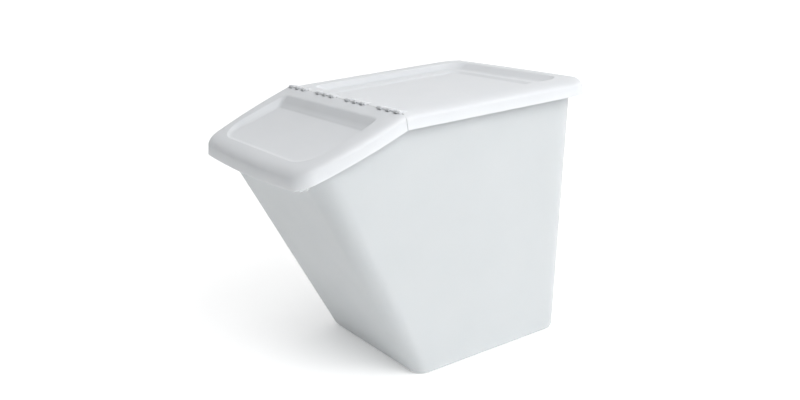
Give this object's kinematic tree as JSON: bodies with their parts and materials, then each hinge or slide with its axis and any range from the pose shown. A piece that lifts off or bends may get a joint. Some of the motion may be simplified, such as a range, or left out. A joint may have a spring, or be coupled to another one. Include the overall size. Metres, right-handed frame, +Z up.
{
  "type": "pet food bin",
  "caption": "Free-standing dry pet food storage bin with a tapered tub, a lift-off stacking lid and a hinged sloping front flap.",
  "frame": {"origin": "centre of the footprint of the whole bin, at floor level under the base", "axes": "+X across the width, -Y towards the front flap, +Z up"},
  "size_m": [0.394, 0.547, 0.4508],
  "materials": {
    "tub_polypropylene": "satin translucent white injection-moulded polypropylene",
    "lid_polypropylene": "satin opaque white injection-moulded polypropylene",
    "flap_polypropylene": "satin opaque white injection-moulded polypropylene"
  },
  "bodies": {
    "tub": {"storage_tub": "tub_polypropylene"},
    "lid": {"rear_lid": "lid_polypropylene"},
    "flap": {"front_flap": "flap_polypropylene"}
  },
  "joints": [
    {"name": "lid_lift", "type": "slide", "parent": "tub", "child": "lid", "axis": [0, 0, 1], "range_m": [0, 0.12]},
    {"name": "flap_hinge", "type": "hinge", "parent": "lid", "child": "flap", "pos_m": [0, -0.09341, 0.447], "axis": [-1, 0, 0], "range_deg": [0, 135]}
  ]
}
